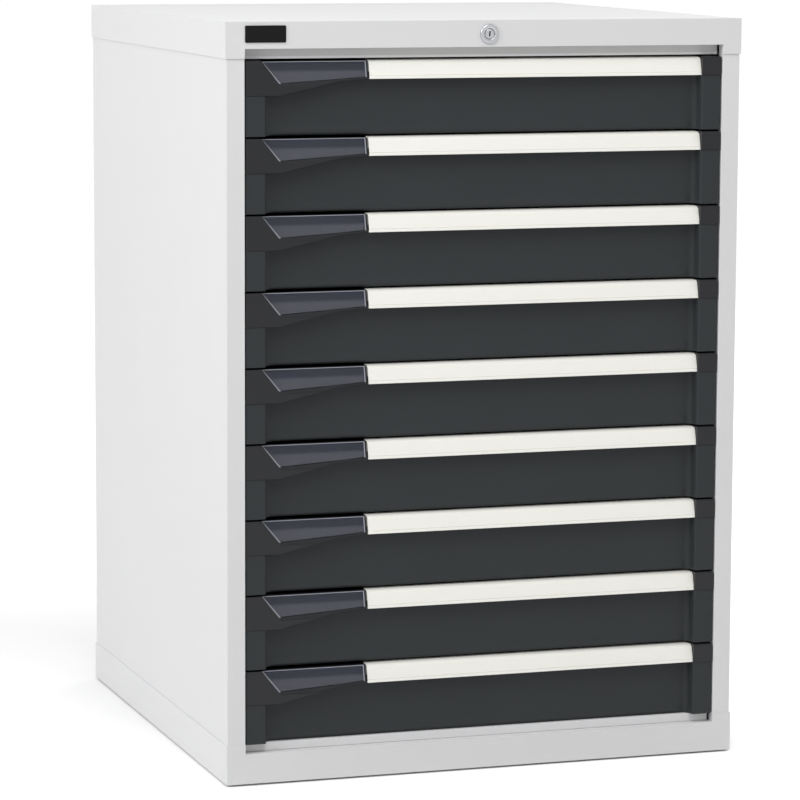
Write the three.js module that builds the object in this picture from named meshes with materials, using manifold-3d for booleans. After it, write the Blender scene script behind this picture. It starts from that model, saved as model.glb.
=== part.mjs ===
// Industrial drawer cabinet: a folded sheet-steel casing with nine equal drawers on roller runners,
// and a central lock whose cam draws a slide, which brings a locking bar down slanted guides and in
// front of a catch on every drawer.
// Millimetres. X runs across, with +X on the right seen from the front. Y runs back from the casing's
// front face, and Z stands up from the floor. The finished group is moved along Y at the end, so that
// its origin lies on the floor in the middle of the cabinet's outer box.

import * as THREE from 'three';
import { mergeVertices } from 'three/addons/utils/BufferGeometryUtils.js';
import Module from 'manifold-3d';

const wasm = await Module();
wasm.setup();

// Whole cabinet
const width = 717;
const height = 1000;
const depth = 725;
const drawerCount = 9;

// Fits and overlaps that every piece shares
const fit = 0.3;
const weld = 0.4;
const overrun = 3;

// Casing sheet work
const casingSheet = 1.2;
const capDrop = 47.5;
const capRailDrop = 35;
const baseRise = 52;
const baseRailRise = 40;
const footFlange = 25;
const pillarWidth = 26;
const pillarReturn = 14;
const backFold = 25;

// Cross rails behind the cap's and the base's front rails
const crossRailSetBack = 14;
const crossRailReturn = 12;
const crossRailEndGap = 3;
const headRailDrop = 46.5;
const headRailSeat = 30;
const footRailRise = 51.5;

// Drawer fronts
const headGap = 3.9;
const footGap = 1.3;
const reveal = 3.2;
const sideGap = 1.5;
const frontSheet = 1.2;
const stripSetBack = 3;
const stripWidth = 24.5;
const stripReturn = 12;
const recessDepth = 16;
const shoulderRadius = 3.4;
const shoulderAngle = THREE.MathUtils.degToRad(78);
const rolledFootRadius = 17;
const rolledFootHeight = 15;
const panelTopDrop = 4.8;

// Drawer trays
const traySheet = 1;
const trayTopDrop = 15;
const trayRimWidth = 7;
const trayRimInset = 43;
const trayRearRoom = 74;

// Handle rail along the top of each drawer
const noseSetBack = 4;
const noseHeight = 23.6;
const noseDepth = 23;
const noseRadius = 11;
const crownDrop = 1.5;
const noseRake = THREE.MathUtils.degToRad(14);
const crownRise = THREE.MathUtils.degToRad(6);
const handleWall = 2;
const handleHook = 4.5;
const handleBackLip = 6;
const handleEndGap = 1.5;
const gripBlade = 1.8;
const frontBladeDrop = 16;
const backBladeDrop = 12;

// Moulded end pieces of the handle
const mouldedSetBack = 2;
const mouldedWall = 2.2;
const mouldedEdgeRadius = 3;
const endCapWidth = 27;
const gripWidth = 167;
const gripDrop = 45.1;
const gripHeelWidth = 45.5;
const gripToeWidth = 38;
const gripToeDrop = 26.7;
const gripTipDrop = 24.6;

// Clear label window set in the grip
const windowSheet = 1.5;
const windowSetBack = 1.3;
const windowPocket = 2.7;
const windowTopInset = 22.5;
const windowHeelInset = 45.3;
const windowHeelDrop = 30.3;
const windowToeInset = 131;
const windowToeDrop = 25.2;
const windowTipDrop = 22.6;
const windowTipInset = 2.2;

// Roller runners
const rollerDiameter = 26;
const rollerWidth = 8;
const rollerAxle = 8;
const runnerSheet = 1.5;
const runnerDrop = 49;
const runnerFlange = 12;
const railSideGap = 3;
const frontRollerInset = 64;
const railEndInset = 14;
const railRearReach = 17;
const rearRollerInset = 12;

// Rack uprights that carry the fixed rails
const uprightSheet = 1.5;
const uprightWidth = 40;
const uprightTopDrop = 52;
const frontUprightInset = 52;
const rearUprightInset = 85;

// Central lock
const lockDrop = 18;
const bezelDiameter = 25.5;
const bezelStandOut = 3;
const barrelDiameter = 19;
const barrelLength = 28;
const plugDiameter = 13;
const keyholeWidth = 2;
const keyholeHeight = 8;
const keyholeDepth = 6;
const camThickness = 3;
const camThrow = 10;
const camPinDiameter = 5;
const camRim = 4;
const lockTailDiameter = 7;
const slideSheet = 2.5;
const slideHeight = 20;
const slideGap = 1.7;
const slotClearance = 0.5;
const barPinDiameter = 6;
const slotRim = 5.5;
const bulkheadSheet = 1.5;
const bulkheadInset = 60;

// Locking bar, its guides and the catches on the drawers
const barWidth = 16;
const barGap = 0.5;
const barPlay = 0.8;
const barFootRise = 70;
const studHeadDiameter = 10;
const studHeadSheet = 1.2;
const guideSheet = 2.5;
const guideWallGap = 0.7;
const guideDrop = 50;
const guideBays = [0, 4, 8];
const catchHeight = 10;
const catchSheet = 3;
const catchDrop = 19;
const catchGap = 2.5;

// Blank badge plate on the cap's front rail
const badgeWidth = 55;
const badgeHeight = 22;
const badgeThickness = 1;
const badgeDrop = 5;

// Facets
const arcSteps = 3;
const noseSteps = 6;
const rolledFootSteps = 5;
const rollerSides = 14;
const axleSides = 8;
const lockSides = 20;
const pinSides = 12;

// Places that several pieces share
const halfWidth = width / 2;
const wallFace = halfWidth - casingSheet - fit;
const wallInner = wallFace - casingSheet;
const openingHalf = halfWidth - pillarWidth;
const pillarFace = casingSheet + fit;
const capUnderside = height - casingSheet;
const wallTop = capUnderside - fit;
const wallFoot = baseRailRise + fit;
const backFace = depth - casingSheet - fit;
const wallRear = backFace - casingSheet - fit;
const crossRailHalf = openingHalf - crossRailEndGap;
const headRailFoot = height - headRailDrop;
const frontsTop = headRailFoot - headGap;
const frontsFoot = footRailRise + footGap;
const drawerPitch = (frontsTop - frontsFoot + reveal) / drawerCount;
const frontHeight = drawerPitch - reveal;
const frontHalf = openingHalf - sideGap;
const panelFace = stripSetBack + recessDepth;
const shoulderLength = (recessDepth - 2 * shoulderRadius * (1 - Math.cos(shoulderAngle)))
  / Math.sin(shoulderAngle);
const shoulderRun = 2 * shoulderRadius * Math.sin(shoulderAngle)
  + shoulderLength * Math.cos(shoulderAngle);
const flatHalf = frontHalf - stripWidth - shoulderRun;
const trayOuter = flatHalf + traySheet;
const trayRear = depth - trayRearRoom;
const gripEnd = gripWidth - frontHalf;
const endCapStart = frontHalf - endCapWidth;
const rollerRadius = rollerDiameter / 2;
const runnerHalf = rollerRadius + fit + runnerSheet;
const memberOuter = trayOuter + runnerFlange;
const frontRollerStart = trayOuter + runnerFlange / 2 - rollerWidth / 2 + runnerSheet / 2;
const railOuter = openingHalf - railSideGap;
const railFlangeEdge = memberOuter + catchGap;
const railFront = frontRollerInset - railEndInset;
const railRear = trayRear + railRearReach;
const lockAxis = height - lockDrop;
const lockTravel = 2 * camThrow * Math.sin(Math.PI / 4);
const camBack = barrelLength + fit + camThickness;
const slideFront = camBack + slideGap;
const slideBack = slideFront + slideSheet;
const barFront = slideBack + barGap;
const barBack = barFront + slideSheet;
const guideOuter = wallInner - guideWallGap;
const barOuter = guideOuter - guideSheet - barPlay;
const barInner = barOuter - barWidth;
const slideFoot = lockAxis - camThrow - slideHeight / 2 + camPinDiameter / 2;
const barPinPlace = [(barInner + barOuter) / 2, lockAxis];
const slotHalf = barPinDiameter / 2 + slotClearance;
const catchTip = openingHalf - catchGap;
const catchFront = barBack + catchGap;
const catchBack = catchFront + catchSheet;

// Closed triangle meshes to and from solids that can be joined and cut
function solid(geometry) {
  geometry.deleteAttribute('normal');
  geometry.deleteAttribute('uv');
  const merged = mergeVertices(geometry);
  const corners = merged.index.array;
  const triangles = [];
  for (let i = 0; i < corners.length; i += 3) {
    const [a, b, c] = [corners[i], corners[i + 1], corners[i + 2]];
    if (a !== b && b !== c && c !== a) triangles.push(a, b, c);
  }
  return new wasm.Manifold(new wasm.Mesh({
    numProp: 3,
    vertProperties: new Float32Array(merged.attributes.position.array),
    triVerts: new Uint32Array(triangles),
  }));
}

function geometryOf(body) {
  const { vertProperties, triVerts } = body.getMesh();
  const geometry = new THREE.BufferGeometry();
  geometry.setAttribute('position', new THREE.BufferAttribute(new Float32Array(vertProperties), 3));
  geometry.setIndex([...triVerts]);
  geometry.computeVertexNormals();
  return geometry;
}

const join = (...bodies) => bodies.reduce((whole, body) => whole.add(body));
const cut = (body, ...tools) => tools.reduce((rest, tool) => rest.subtract(tool), body);

// The same solid on the other side of the cabinet's middle plane
function mirrored(body) {
  const { vertProperties, triVerts } = body.getMesh();
  const places = vertProperties.map((value, i) => (i % 3 === 0 ? -value : value));
  const turned = triVerts.map((_, i) => triVerts[i - (i % 3) + (3 - (i % 3)) % 3]);
  return new wasm.Manifold(new wasm.Mesh({ numProp: 3, vertProperties: places, triVerts: turned }));
}

// A box between two places on each axis
function block([x0, x1], [y0, y1], [z0, z1]) {
  const box = new THREE.BoxGeometry(x1 - x0, y1 - y0, z1 - z0);
  return solid(box.translate((x0 + x1) / 2, (y0 + y1) / 2, (z0 + z1) / 2));
}

const across = half => [-half, half];

// An outline pushed along an axis. Its points are (y, z) along X, (x, z) along Y and (x, y) along Z.
const frames = {
  x: new THREE.Matrix4().set(0, 0, 1, 0, 1, 0, 0, 0, 0, 1, 0, 0, 0, 0, 0, 1),
  y: new THREE.Matrix4().set(0, 1, 0, 0, 0, 0, 1, 0, 1, 0, 0, 0, 0, 0, 0, 1),
  z: new THREE.Matrix4(),
};

function prism(axis, outline, [from, to]) {
  const points = outline.map(([u, v]) => new THREE.Vector2(...(axis === 'y' ? [v, u] : [u, v])));
  const settings = { depth: to - from, bevelEnabled: false };
  const body = new THREE.ExtrudeGeometry(new THREE.Shape(points), settings);
  return solid(body.translate(0, 0, from).applyMatrix4(frames[axis]));
}

// The outline of a folded sheet: a path, and the same path set off to its left by the thickness
function sheetOutline(path, thickness) {
  const heading = path.slice(1).map(([u, v], i) => {
    const length = Math.hypot(u - path[i][0], v - path[i][1]);
    return [(u - path[i][0]) / length, (v - path[i][1]) / length];
  });
  const offset = path.map(([u, v], i) => {
    const before = heading[Math.max(i - 1, 0)];
    const after = heading[Math.min(i, heading.length - 1)];
    const mitre = thickness / (1 + before[0] * after[0] + before[1] * after[1]);
    return [u - (before[1] + after[1]) * mitre, v + (before[0] + after[0]) * mitre];
  });
  return [...path, ...offset.reverse()];
}

function arc([u, v], radius, start, end, steps) {
  return Array.from({ length: steps + 1 }, (_, i) => {
    const angle = start + (end - start) * i / steps;
    return [u + radius * Math.cos(angle), v + radius * Math.sin(angle)];
  });
}

// A round bar along an axis through a place given as (y, z), (x, z) or (x, y)
function rod(axis, diameter, [from, to], place, sides) {
  const circle = arc(place, diameter / 2, 0, 2 * Math.PI, sides).slice(1);
  return prism(axis, circle, [from, to]);
}

const drawerTop = bay => frontsTop - bay * drawerPitch;
const bays = Array.from({ length: drawerCount }, (_, bay) => bay);

// Casing

// The cap: a shallow lid whose front wall is cut back to a rail between the pillars
function topCover() {
  const lid = cut(
    block(across(halfWidth), [0, depth], [height - capDrop, height]),
    block(across(halfWidth - casingSheet), [casingSheet, depth - casingSheet],
      [height - capDrop - overrun, capUnderside]),
  );
  const doorway = block(across(openingHalf), [-overrun, casingSheet + overrun],
    [height - capDrop - overrun, height - capRailDrop]);
  const railReturn = block(across(openingHalf - fit), [0, crossRailSetBack - fit],
    [height - capRailDrop, height - capRailDrop + casingSheet]);
  return cut(join(cut(lid, doorway), railReturn), lockHole());
}

// The base: walls round a deck, with flanges turned in under it that stand on the floor
function baseTray() {
  const inner = across(halfWidth - casingSheet);
  const innerDepth = [casingSheet, depth - casingSheet];
  const walls = cut(
    block(across(halfWidth), [0, depth], [0, baseRise]),
    block(inner, innerDepth, [-overrun, baseRise + overrun]),
    block(across(openingHalf), [-overrun, casingSheet + overrun], [baseRailRise, baseRise + overrun]),
  );
  const deck = block(across(halfWidth - casingSheet + weld),
    [casingSheet - weld, depth - casingSheet + weld], [baseRailRise - casingSheet, baseRailRise]);
  const flanges = cut(
    block(across(halfWidth), [0, depth], [0, casingSheet]),
    block(across(halfWidth - footFlange), [footFlange, depth - footFlange], [-overrun, overrun]),
  );
  return join(walls, deck, flanges);
}

// A side wall folded round the front into a pillar, and at the back into a flange
function sidePanel() {
  const path = [
    [openingHalf, pillarFace + pillarReturn],
    [openingHalf, pillarFace],
    [wallFace, pillarFace],
    [wallFace, wallRear],
    [wallFace - backFold, wallRear],
  ];
  return prism('z', sheetOutline(path, casingSheet), [wallFoot, wallTop]);
}

const backPanel = () => block(across(wallFace), [backFace - casingSheet, backFace], [wallFoot, wallTop]);

const lockHole = () => rod('y', barrelDiameter + 2 * fit, [-overrun, barrelLength],
  [0, lockAxis], lockSides);

// The cross rail behind the cap's rail, with two bulkheads that guide the lock's slide
function headRail() {
  const back = crossRailSetBack + headRailSeat;
  const channel = prism('x', sheetOutline([
    [back, wallTop],
    [crossRailSetBack, wallTop],
    [crossRailSetBack, headRailFoot],
    [crossRailSetBack + crossRailReturn, headRailFoot],
  ], casingSheet), across(crossRailHalf));
  const bulkheads = [bulkheadInset, openingHalf - bulkheadInset].map(x => block(
    [x - bulkheadSheet, x], [crossRailSetBack + weld, back], [headRailFoot + weld, wallTop - weld]));
  const slideWay = block([0, openingHalf], [slideFront - fit, slideBack + fit],
    [slideFoot - fit, slideFoot + slideHeight + fit]);
  return cut(join(channel, ...bulkheads), slideWay, lockHole());
}

// The cross rail that stands on the base's deck below the lowest drawer
function footRail() {
  const back = crossRailSetBack + crossRailReturn;
  return prism('x', sheetOutline([
    [back, footRailRise],
    [crossRailSetBack, footRailRise],
    [crossRailSetBack, wallFoot],
    [back, wallFoot],
  ], casingSheet), across(crossRailHalf));
}

// Two uprights against the side wall, with the nine fixed rails and their front rollers
function rack() {
  const fronts = [frontUprightInset, depth - rearUprightInset - uprightWidth];
  const uprights = fronts.map(y => prism('z', sheetOutline([
    [wallInner - fit, y],
    [railOuter - fit, y],
    [railOuter - fit, y + uprightWidth],
    [wallInner - fit, y + uprightWidth],
  ], -uprightSheet), [wallFoot, height - uprightTopDrop]));
  return join(...uprights, ...bays.map(bay => fixedRail(drawerTop(bay) - runnerDrop)));
}

// A channel that opens towards the drawer, and the roller that the drawer's own channel runs on
function fixedRail(z) {
  const channel = prism('y', sheetOutline([
    [railFlangeEdge, z - runnerHalf],
    [railOuter, z - runnerHalf],
    [railOuter, z + runnerHalf],
    [railFlangeEdge, z + runnerHalf],
  ], runnerSheet), [railFront, railRear]);
  const place = [frontRollerInset, z];
  const roller = rod('x', rollerDiameter, [frontRollerStart, frontRollerStart + rollerWidth], place,
    rollerSides);
  const axle = rod('x', rollerAxle, [frontRollerStart + weld, railOuter - weld], place, axleSides);
  return join(channel, roller, axle);
}

// A slot with round ends for a pin that travels between two places, given as (x, z)
function pinSlot(from, to) {
  const heading = Math.atan2(to[1] - from[1], to[0] - from[0]);
  const turn = Math.PI / 2;
  return prism('y', [
    ...arc(to, slotHalf, heading - turn, heading + turn, pinSides / 2),
    ...arc(from, slotHalf, heading + turn, heading + 3 * turn, pinSides / 2),
  ], [slideFront - overrun, slideBack + overrun]);
}

// Where the bar's stud stands in the guide of a bay while the cabinet is unlocked
const studPlace = bay => [barPinPlace[0], drawerTop(bay) - guideDrop];

// Angle guides on the right front upright, each with a slanted slot for a stud of the locking bar
function barGuides() {
  const rim = slotHalf + slotRim;
  return guideBays.map(bay => {
    const [x, z] = studPlace(bay);
    const angle = prism('z', sheetOutline([
      [x - lockTravel - rim, slideFront],
      [guideOuter, slideFront],
      [guideOuter, frontUprightInset + weld],
    ], guideSheet), [z - lockTravel - rim, z + rim]);
    return cut(angle, pinSlot([x, z], [x - lockTravel, z - lockTravel]));
  });
}

// Drawers, drawn with z = 0 at the top edge of the drawer's front

// Right half of the front sheet seen from above: flat recess, shoulder, strip and return
function shoulderPath() {
  const turn = Math.PI / 2;
  const inner = arc([flatHalf, panelFace - shoulderRadius], shoulderRadius,
    turn, turn - shoulderAngle, arcSteps);
  const stripStart = frontHalf - stripWidth;
  const outer = arc([stripStart, stripSetBack + shoulderRadius], shoulderRadius,
    -turn - shoulderAngle, -turn, arcSteps);
  return [...inner, ...outer, [frontHalf, stripSetBack], [frontHalf, stripSetBack + stripReturn]];
}

// The folded front: two side strips and a recess between soft shoulders, with its foot rolled back
function drawerFront() {
  const right = shoulderPath();
  const left = right.map(([x, y]) => [-x, y]).reverse();
  const sheet = prism('z', sheetOutline([...left, ...right], frontSheet), [-frontHeight, -panelTopDrop]);
  const rollTop = rolledFootHeight - frontHeight;
  const rollCentre = [panelFace + rolledFootRadius, rollTop];
  const roll = Math.asin(rolledFootHeight / rolledFootRadius);
  const rollPath = arc(rollCentre, rolledFootRadius, Math.PI, Math.PI + roll, rolledFootSteps);
  const rolledFoot = prism('x', sheetOutline([
    [panelFace, rollTop + weld],
    ...rollPath,
    [rollCentre[0], -frontHeight],
  ], frontSheet), across(trayOuter));
  return join(
    cut(sheet,
      block(across(flatHalf), [-overrun, panelFace + overrun], [-frontHeight - overrun, rollTop]),
      block([-frontHalf - overrun, -trayOuter], [-overrun, panelFace + overrun],
        [-gripDrop - fit, overrun]),
      block([trayOuter, frontHalf + overrun], [-overrun, panelFace + overrun],
        [-crownDrop - noseHeight - fit, overrun])),
    rolledFoot,
  );
}

// The open box of the drawer, with a stiffening rim turned out along the top of each side
function tray() {
  const rise = [-frontHeight, -trayTopDrop];
  const start = panelFace + frontSheet - weld;
  const side = join(
    block([trayOuter - traySheet, trayOuter], [start, trayRear], rise),
    block([trayOuter - weld, trayOuter + trayRimWidth], [trayRimInset, trayRear],
      [-trayTopDrop - traySheet, -trayTopDrop]),
  );
  const floor = block(across(trayOuter), [panelFace + rolledFootRadius - weld, trayRear],
    [-frontHeight, traySheet - frontHeight]);
  const back = block(across(trayOuter), [trayRear - traySheet, trayRear], rise);
  return join(side, mirrored(side), floor, back);
}

// The channel on a drawer's side that opens outwards, with the roller at its rear end
function drawerRunner() {
  const web = trayOuter - weld;
  const channel = prism('y', sheetOutline([
    [memberOuter, runnerHalf - runnerDrop],
    [web, runnerHalf - runnerDrop],
    [web, -runnerHalf - runnerDrop],
    [memberOuter, -runnerHalf - runnerDrop],
  ], runnerSheet), [catchBack + fit, trayRear]);
  const rollerStart = (railFlangeEdge + railOuter - runnerSheet - rollerWidth) / 2;
  const place = [trayRear - rearRollerInset, -runnerDrop];
  const roller = rod('x', rollerDiameter, [rollerStart, rollerStart + rollerWidth], place, rollerSides);
  const axle = rod('x', rollerAxle, [web + weld, rollerStart + weld], place, axleSides);
  return join(channel, roller, axle);
}

// The catch on a drawer's right side that the locking bar stands in front of
const drawerCatch = () => block([trayOuter - weld, catchTip], [catchFront, catchBack],
  [-catchDrop - catchHeight, -catchDrop]);

const drawerBody = () => join(drawerFront(), tray(), drawerRunner(), mirrored(drawerRunner()),
  drawerCatch());

// Section of the handle: a hooked foot, a raked face, a round nose and a crown that rises to the back
const nose = (() => {
  const faceAngle = Math.PI / 2 - noseRake;
  const run = noseDepth - noseRadius * (Math.sin(faceAngle) - Math.sin(crownRise));
  const rise = noseHeight - noseRadius * (Math.cos(crownRise) - Math.cos(faceAngle));
  const spread = Math.sin(faceAngle - crownRise);
  const faceLength = (rise * Math.cos(crownRise) - run * Math.sin(crownRise)) / spread;
  const foot = [noseSetBack, -crownDrop - noseHeight];
  const faceTop = [foot[0] + faceLength * Math.cos(faceAngle), foot[1] + faceLength * Math.sin(faceAngle)];
  const centre = [
    faceTop[0] + noseRadius * Math.sin(faceAngle),
    faceTop[1] - noseRadius * Math.cos(faceAngle),
  ];
  const round = arc(centre, noseRadius, Math.PI / 2 + faceAngle, Math.PI / 2 + crownRise, noseSteps);
  return { foot, round, crownBack: [noseSetBack + noseDepth, -crownDrop] };
})();

// The two blades that clip over the top edge of the drawer's front
function clipBlades([from, to]) {
  const front = [panelFace - fit - gripBlade, panelFace - fit];
  const back = [panelFace + frontSheet + fit, panelFace + frontSheet + fit + gripBlade];
  const crown = y => nose.crownBack[1] - (nose.crownBack[0] - y) * Math.tan(crownRise) - weld;
  return [
    block([from, to], front, [-frontBladeDrop, crown(front[0])]),
    block([from, to], back, [-backBladeDrop, crown(back[0])]),
  ];
}

// The extruded handle that the hand hooks under
function handle() {
  const span = [gripEnd + handleEndGap, endCapStart - fit];
  const section = sheetOutline([
    [nose.foot[0] + handleHook, nose.foot[1]],
    nose.foot,
    ...nose.round,
    nose.crownBack,
    [nose.crownBack[0], nose.crownBack[1] - handleBackLip],
  ], -handleWall);
  return join(prism('x', section, span), ...clipBlades(span));
}

// A moulded block with a rounded front top edge, as deep as the handle
function mouldedBlock(span, drop) {
  const back = nose.crownBack[0];
  const radius = mouldedEdgeRadius;
  return prism('x', [
    ...arc([mouldedSetBack + radius, -radius], radius, Math.PI, Math.PI / 2, arcSteps),
    [back, 0],
    [back, -drop],
    [mouldedSetBack, -drop],
  ], span);
}

// The black cap on the right end of the handle, open at the back
function endCap() {
  const drop = crownDrop + noseHeight;
  const corner = cut(
    block([frontHalf - mouldedEdgeRadius, frontHalf + overrun], [-overrun, depth],
      [-mouldedEdgeRadius, overrun]),
    rod('y', 2 * mouldedEdgeRadius, [-overrun - fit, depth + fit],
      [frontHalf - mouldedEdgeRadius, -mouldedEdgeRadius], rollerSides),
  );
  return cut(
    mouldedBlock([endCapStart, frontHalf], drop),
    block([endCapStart + mouldedWall, frontHalf - mouldedWall],
      [mouldedSetBack + mouldedWall, nose.crownBack[0] + overrun], [mouldedWall - drop, -mouldedWall]),
    corner,
  );
}

// Depth of the grip's raked face at a height, and a slab between two depths behind that face
const rakedFace = z => noseSetBack + windowSetBack + (z - nose.foot[1]) * Math.tan(noseRake);

function rakedSlab([x0, x1], [shallow, deep], [foot, top]) {
  return prism('x', [
    [rakedFace(foot) + shallow, foot],
    [rakedFace(top) + shallow, top],
    [rakedFace(top) + deep, top],
    [rakedFace(foot) + deep, foot],
  ], [x0, x1]);
}

// The slanted left end of the window and of the raked face: its place across at a height
const windowLean = (windowHeelInset - windowTopInset) / (windowHeelDrop - crownDrop);
const windowSlant = z => windowTopInset - frontHalf - windowLean * (z + crownDrop);

// Outline of the label window seen from the front, drawn in by a margin on its free sides
function windowOutline(margin, top) {
  return [
    [windowSlant(top) + margin, top],
    [windowSlant(-windowHeelDrop) + margin, margin - windowHeelDrop],
    [windowToeInset - frontHalf, margin - windowToeDrop],
    [gripEnd - windowTipInset - margin, margin - windowTipDrop],
    [gripEnd - windowTipInset - margin, top],
  ];
}

// The black moulded grip on the left: a block, and a raked panel that carries the label window
function grip() {
  const left = -frontHalf;
  const bladeBack = panelFace - fit;
  const outline = [
    [left, 0],
    [left, -gripDrop],
    [left + gripHeelWidth, -gripDrop],
    [gripEnd - gripToeWidth, -gripToeDrop],
    [gripEnd, -gripTipDrop],
    [gripEnd, 0],
  ];
  const whole = mouldedBlock([left, gripEnd], gripDrop)
    .intersect(prism('y', outline, [-overrun, depth]));
  const behindPanel = block([left + windowTopInset, gripEnd + overrun], [bladeBack, depth],
    [-gripDrop - overrun, -crownDrop - mouldedWall]);
  const rakeCut = rakedSlab([left, gripEnd + overrun], [-depth, 0], [-windowHeelDrop - overrun, overrun])
    .intersect(prism('y', rakeRegion(), [-depth, depth]));
  const crownCut = block([left + windowTopInset, gripEnd + overrun], [-overrun, depth],
    [-crownDrop, overrun]);
  const pocket = rakedSlab([left, gripEnd], [-overrun, windowPocket], [-gripDrop, overrun])
    .intersect(prism('y', windowOutline(0, overrun), [-depth, depth]));
  const hollow = rakedSlab([left + windowTopInset + mouldedWall, gripEnd - mouldedWall],
    [windowPocket + mouldedWall, depth], [-gripDrop - overrun, -crownDrop - mouldedWall]);
  const blockHollow = block([left + mouldedWall, left + windowTopInset - mouldedWall],
    [mouldedSetBack + mouldedWall, depth], [mouldedWall - gripDrop, -mouldedWall]);
  const heelFloor = block([left + windowTopInset, left + gripHeelWidth - mouldedWall],
    [mouldedSetBack, bladeBack], [-gripDrop, mouldedWall - gripDrop]);
  const blades = clipBlades([left + windowHeelInset, gripEnd]);
  return join(
    cut(whole, behindPanel, crownCut, rakeCut, pocket, hollow, blockHollow),
    heelFloor,
    ...blades,
  );
}

// Where the grip's face is raked: right of the window's slanted end, above the window's heel
function rakeRegion() {
  const foot = -gripDrop;
  return [
    [windowSlant(overrun), overrun],
    [windowSlant(foot), foot],
    [gripEnd + overrun, foot],
    [gripEnd + overrun, overrun],
  ];
}

// The clear window: a plate that lies in the grip's pocket and slides out at the top
function labelWindow() {
  return rakedSlab([-frontHalf, gripEnd], [0, windowSheet], [-gripDrop, 0])
    .intersect(prism('y', windowOutline(fit, -crownDrop), [-depth, depth]));
}

// Central lock

// The bezel and the tube round the plug, turned about the lock's axis
function lockBarrel() {
  const bore = plugDiameter / 2 + fit;
  const tube = barrelDiameter / 2;
  const rim = bezelDiameter / 2;
  const round = bezelStandOut / 2;
  const profile = [
    [bore, -bezelStandOut],
    ...arc([rim - round, -round], round, -Math.PI / 2, 0, arcSteps),
    [rim, -fit],
    [tube, -fit],
    [tube, barrelLength],
    [bore, barrelLength],
    [bore, -bezelStandOut],
  ].map(([r, y]) => new THREE.Vector2(r, y));
  return solid(new THREE.LatheGeometry(profile, lockSides).translate(0, 0, lockAxis));
}

// The plug that the key turns, with its keyhole in front and a tail that carries the cam
function lockPlug() {
  const plug = rod('y', plugDiameter, [fit - bezelStandOut, barrelLength], [0, lockAxis], lockSides);
  const tail = rod('y', lockTailDiameter, [barrelLength - weld, camBack + fit], [0, lockAxis], pinSides);
  const keyhole = block(across(keyholeWidth / 2), [-bezelStandOut - overrun, keyholeDepth - bezelStandOut],
    [lockAxis - keyholeHeight / 2, lockAxis + keyholeHeight / 2]);
  return cut(join(plug, tail), keyhole);
}

// The cam: a disc on the plug's tail with a pin at its rim, which starts at an eighth of a turn
function lockCam() {
  const [front, back] = [barrelLength + fit, camBack];
  const pinPlace = [lockTravel / 2, lockAxis - lockTravel / 2];
  const disc = rod('y', 2 * (camThrow + camRim), [front, back], [0, lockAxis], lockSides);
  const eye = rod('y', lockTailDiameter + 2 * fit, [front - overrun, back + overrun],
    [0, lockAxis], pinSides);
  const pin = rod('y', camPinDiameter, [back - weld, slideBack + fit], pinPlace, pinSides);
  return cut(join(disc, pin), eye);
}

// The slide that the cam draws sideways, with an upright slot at its far end for the bar's pin
function lockSlide() {
  const [pinX, pinZ] = barPinPlace;
  const rim = slotHalf + slotRim;
  const thick = [slideFront, slideBack];
  const strip = block([-camThrow, pinX], thick, [slideFoot, slideFoot + slideHeight]);
  const head = block([pinX - rim, pinX + rim], thick, [pinZ - lockTravel - rim, pinZ + rim]);
  const camHalf = camPinDiameter / 2 + slotClearance;
  const camSlot = block([lockTravel / 2 - camHalf, lockTravel / 2 + camHalf],
    [slideFront - overrun, slideBack + overrun],
    [lockAxis - camThrow - camHalf, lockAxis - lockTravel / 2 + camHalf]);
  return cut(join(strip, head), pinSlot(barPinPlace, [pinX, pinZ - lockTravel]), camSlot);
}

// The locking bar: a strip with a headed pin in the slide's slot and a headed stud in each guide
function lockBar() {
  const strip = block([barInner, barOuter], [barFront, barBack],
    [barFootRise, barPinPlace[1] + barWidth / 2]);
  const headBack = slideFront - fit;
  const studs = [barPinPlace, ...guideBays.map(studPlace)].flatMap(place => [
    rod('y', barPinDiameter, [headBack - weld, barFront + weld], place, axleSides),
    rod('y', studHeadDiameter, [headBack - studHeadSheet, headBack], place, pinSides),
  ]);
  return join(strip, ...studs);
}

function badgePlate() {
  const foot = height - badgeDrop - badgeHeight;
  return block([-openingHalf, badgeWidth - openingHalf], [-fit - badgeThickness, -fit],
    [foot, foot + badgeHeight]);
}

// Finishes
function finish(color, roughness, metalness) {
  return new THREE.MeshStandardMaterial({ color, roughness, metalness });
}

const greyPaint = finish(0xdfe0e2, 0.5, 0);
const darkPaint = finish(0x3d4043, 0.45, 0);
const zinc = finish(0xb4b8bb, 0.4, 0.8);
const whiteRail = finish(0xf0efea, 0.4, 0);
const blackMoulding = finish(0x3a383c, 0.5, 0);
const clearWindow = finish(0x3f4560, 0.15, 0);
const chrome = finish(0xd2d3d5, 0.2, 0.9);
const badgeBlack = finish(0x17181a, 0.35, 0);

function piece(name, body, material) {
  const mesh = new THREE.Mesh(geometryOf(body), material);
  mesh.name = name;
  return mesh;
}

const cabinet = new THREE.Group();
cabinet.add(
  piece('top_cover', topCover(), greyPaint),
  piece('base_tray', baseTray(), greyPaint),
  piece('side_panel_left', mirrored(sidePanel()), greyPaint),
  piece('side_panel_right', sidePanel(), greyPaint),
  piece('back_panel', backPanel(), greyPaint),
  piece('head_rail', headRail(), greyPaint),
  piece('foot_rail', footRail(), greyPaint),
  piece('rack_left', mirrored(rack()), zinc),
  piece('rack_right', join(rack(), ...barGuides()), zinc),
  piece('lock_barrel', lockBarrel(), chrome),
  piece('lock_plug', lockPlug(), chrome),
  piece('lock_cam', lockCam(), zinc),
  piece('lock_slide', lockSlide(), zinc),
  piece('lock_bar', lockBar(), zinc),
  piece('badge_plate', badgePlate(), badgeBlack),
);

const drawerPieces = [
  ['body', drawerBody(), darkPaint],
  ['handle', handle(), whiteRail],
  ['grip', grip(), blackMoulding],
  ['label_window', labelWindow(), clearWindow],
  ['end_cap', endCap(), blackMoulding],
];

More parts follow.
